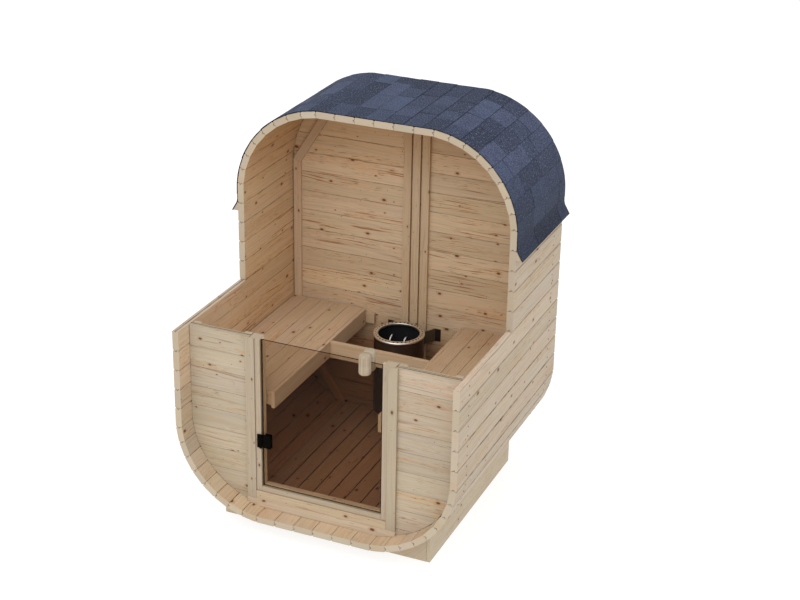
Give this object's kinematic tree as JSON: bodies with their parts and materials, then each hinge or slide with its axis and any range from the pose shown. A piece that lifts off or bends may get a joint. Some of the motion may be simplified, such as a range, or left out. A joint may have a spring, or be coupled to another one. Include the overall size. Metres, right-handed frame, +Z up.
{
  "type": "barrel sauna",
  "caption": "Cutaway barrel sauna of pale staves with rounded corners, shingle roof on its rear half, glass door, benches and a round heater, on a low board base.",
  "frame": {"origin": "on the ground, under the middle of the staves' length and width", "axes": "+Z up, -Y towards the door, +X to the right of someone who faces the door"},
  "size_m": [1.779, 1.58, 2.2985],
  "materials": {
    "stave_wood": "planed knotty spruce",
    "wall_wood": "planed knotty spruce",
    "frame_wood": "planed spruce",
    "batten_wood": "planed spruce",
    "bench_wood": "planed knotty spruce",
    "floor_wood": "planed knotty spruce",
    "base_wood": "planed spruce",
    "handle_wood": "turned pale wood",
    "shingle": "matt with mineral grains",
    "door_glass": "clear bronze tint",
    "hinge_metal": "black satin",
    "pin_metal": "plain",
    "heater_metal": "dark satin",
    "rim_metal": "brushed",
    "element_metal": "plain"
  },
  "bodies": {
    "sauna": {"bottom_staves": "stave_wood", "bottom_corner_left": "stave_wood", "bottom_corner_right": "stave_wood", "side_left_low": "stave_wood", "side_right_low": "stave_wood", "side_left_high": "stave_wood", "side_right_high": "stave_wood", "top_corner_left": "stave_wood", "top_corner_right": "stave_wood", "top_staves": "stave_wood", "roof_shingles": "shingle", "eave_battens": "batten_wood", "front_wall_left": "wall_wood", "front_wall_right": "wall_wood", "sill_board": "wall_wood", "front_battens": "batten_wood", "door_posts": "frame_wood", "door_casings": "frame_wood", "door_trims": "frame_wood", "door_stops": "frame_wood", "door_sill": "frame_wood", "hinge_leaf": "hinge_metal", "hinge_pin": "pin_metal", "back_wall_left": "wall_wood", "back_wall_right": "wall_wood", "back_middle_battens": "batten_wood", "back_corner_battens": "batten_wood", "back_braces": "batten_wood", "floor_boards": "floor_wood", "floor_bearers": "floor_wood", "bench_boards": "bench_wood", "bench_aprons": "bench_wood", "bench_bearers": "bench_wood", "guard_rail": "bench_wood", "heater_body": "heater_metal", "heater_rim": "rim_metal", "heater_elements": "element_metal", "heater_brackets": "heater_metal", "base_sides": "base_wood", "base_cross": "base_wood"},
    "door": {"door_glass": "door_glass", "hinge_clamp": "hinge_metal", "handle_outer": "handle_wood", "handle_inner": "handle_wood"}
  },
  "joints": [
    {"name": "door_hinge", "type": "hinge", "parent": "sauna", "child": "door", "pos_m": [-0.366, -0.69, 0.564], "axis": [0, 0, -1], "range_deg": [0, 95]}
  ]
}
